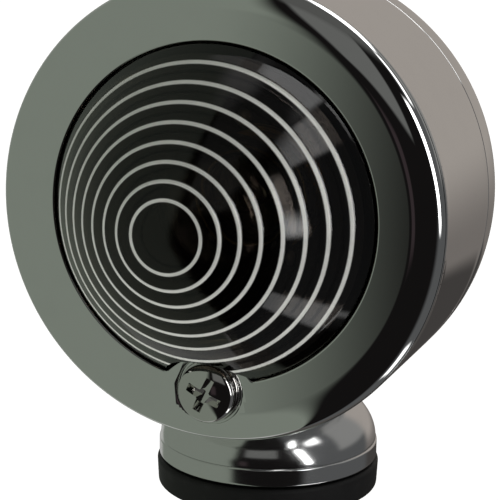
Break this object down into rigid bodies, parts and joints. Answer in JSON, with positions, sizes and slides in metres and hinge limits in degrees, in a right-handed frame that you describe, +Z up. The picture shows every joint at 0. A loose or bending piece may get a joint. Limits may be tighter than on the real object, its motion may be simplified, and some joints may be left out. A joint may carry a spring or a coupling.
{
  "type": "round pedestal lamp",
  "caption": "Round chrome vehicle marker lamp: flat bezel held by a screw, clear ringed dome lens, bayonet bulb, domed back, flared foot on a rubber pad, hollow mounting stud.",
  "frame": {"origin": "centre of the rubber pad's underside, on the mounting stud's axis", "axes": "+Z up along the stud, the lens faces -Y, +X is the lamp's left side (the right side for someone looking at the lens)"},
  "size_m": [0.0626, 0.062, 0.0974],
  "materials": {
    "chrome_bezel": "bright chrome plate, polished",
    "chrome_housing": "bright chrome plate, polished",
    "chrome_foot": "bright chrome plate, polished",
    "screw_steel": "nickel-plated steel, polished",
    "washer_steel": "zinc-plated steel, satin",
    "stud_steel": "zinc-plated steel, satin, threaded",
    "pad_rubber": "matt moulded rubber",
    "gasket_rubber": "soft closed-cell rubber",
    "ferrule_rubber": "soft rubber",
    "lens_clear": "clear moulded lens, stepped rings",
    "reflector_dark": "drawn sheet with dark brown lacquer",
    "socket_brass": "drawn brass, satin",
    "rivet_steel": "plated steel",
    "insulator_board": "brown laminated board",
    "spring_steel": "spring wire",
    "contact_brass": "turned brass",
    "bulb_glass": "clear blown glass",
    "cap_brass": "nickel-washed brass",
    "black_glass": "black vitrite glass",
    "solder": "dull solder",
    "filament_wire": "drawn wire"
  },
  "bodies": {
    "pad": {"base_pad": "pad_rubber"},
    "nut_washers": {"panel_washer": "washer_steel", "panel_lock_washer": "washer_steel"},
    "panel_nut": {"panel_nut": "stud_steel"},
    "lamp": {"mounting_stud": "stud_steel", "pedestal": "chrome_foot", "pedestal_nut": "stud_steel", "housing": "chrome_housing", "housing_lock_washer": "washer_steel", "housing_nut": "stud_steel", "wire_ferrule": "ferrule_rubber", "screw_insert": "contact_brass", "lens_gasket": "gasket_rubber", "reflector": "reflector_dark", "socket_shell": "socket_brass", "socket_rivets": "rivet_steel", "rear_insulator": "insulator_board", "contact_spring": "spring_steel"},
    "front": {"bezel": "chrome_bezel", "lens": "lens_clear"},
    "screw_washer": {"screw_washer": "screw_steel"},
    "bezel_screw": {"bezel_screw": "screw_steel"},
    "contact": {"contact_carrier": "insulator_board", "contact_button": "contact_brass"},
    "bulb": {"bulb_glass": "bulb_glass", "bulb_cap": "cap_brass", "bayonet_pins": "contact_brass", "cap_insulator": "black_glass", "solder_contact": "solder", "glass_stem": "bulb_glass", "filament_posts": "filament_wire", "filament": "filament_wire"}
  },
  "joints": [
    {"name": "lamp_aim", "type": "hinge", "parent": "pad", "child": "lamp", "pos_m": [0, 0, 0.004], "axis": [0, 0, 1], "range_deg": [-180, 180]},
    {"name": "nut_off", "type": "slide", "parent": "pad", "child": "nut_washers", "axis": [0, 0, -1], "range_m": [0, 0.017]},
    {"name": "nut_turn", "type": "hinge", "parent": "nut_washers", "child": "panel_nut", "pos_m": [0, 0, -0.008], "axis": [0, 0, -1], "range_deg": [0, 6200]},
    {"name": "bezel_off", "type": "slide", "parent": "lamp", "child": "front", "axis": [0, -1, 0], "range_m": [0, 0.03]},
    {"name": "screw_out", "type": "slide", "parent": "front", "child": "screw_washer", "axis": [0, -1, 0], "range_m": [0, 0.016]},
    {"name": "screw_turn", "type": "hinge", "parent": "screw_washer", "child": "bezel_screw", "pos_m": [0, -0.0235, 0.0201], "axis": [0, -1, 0], "range_deg": [0, 8300]},
    {"name": "bulb_press", "type": "slide", "parent": "lamp", "child": "contact", "axis": [0, 1, 0], "range_m": [0, 0.002], "stiffness_N_per_m": 1500, "springref_m": -0.003, "deforming": ["contact_spring"]},
    {"name": "bulb_turn", "type": "hinge", "parent": "contact", "child": "bulb", "pos_m": [0, 0, 0.0441], "axis": [0, 1, 0], "range_deg": [0, 25]}
  ],
  "couplings": [
    {"joint": "nut_turn", "follows": "nut_off", "rad_per_m": 6283.2},
    {"joint": "screw_turn", "follows": "screw_out", "rad_per_m": 8976}
  ]
}
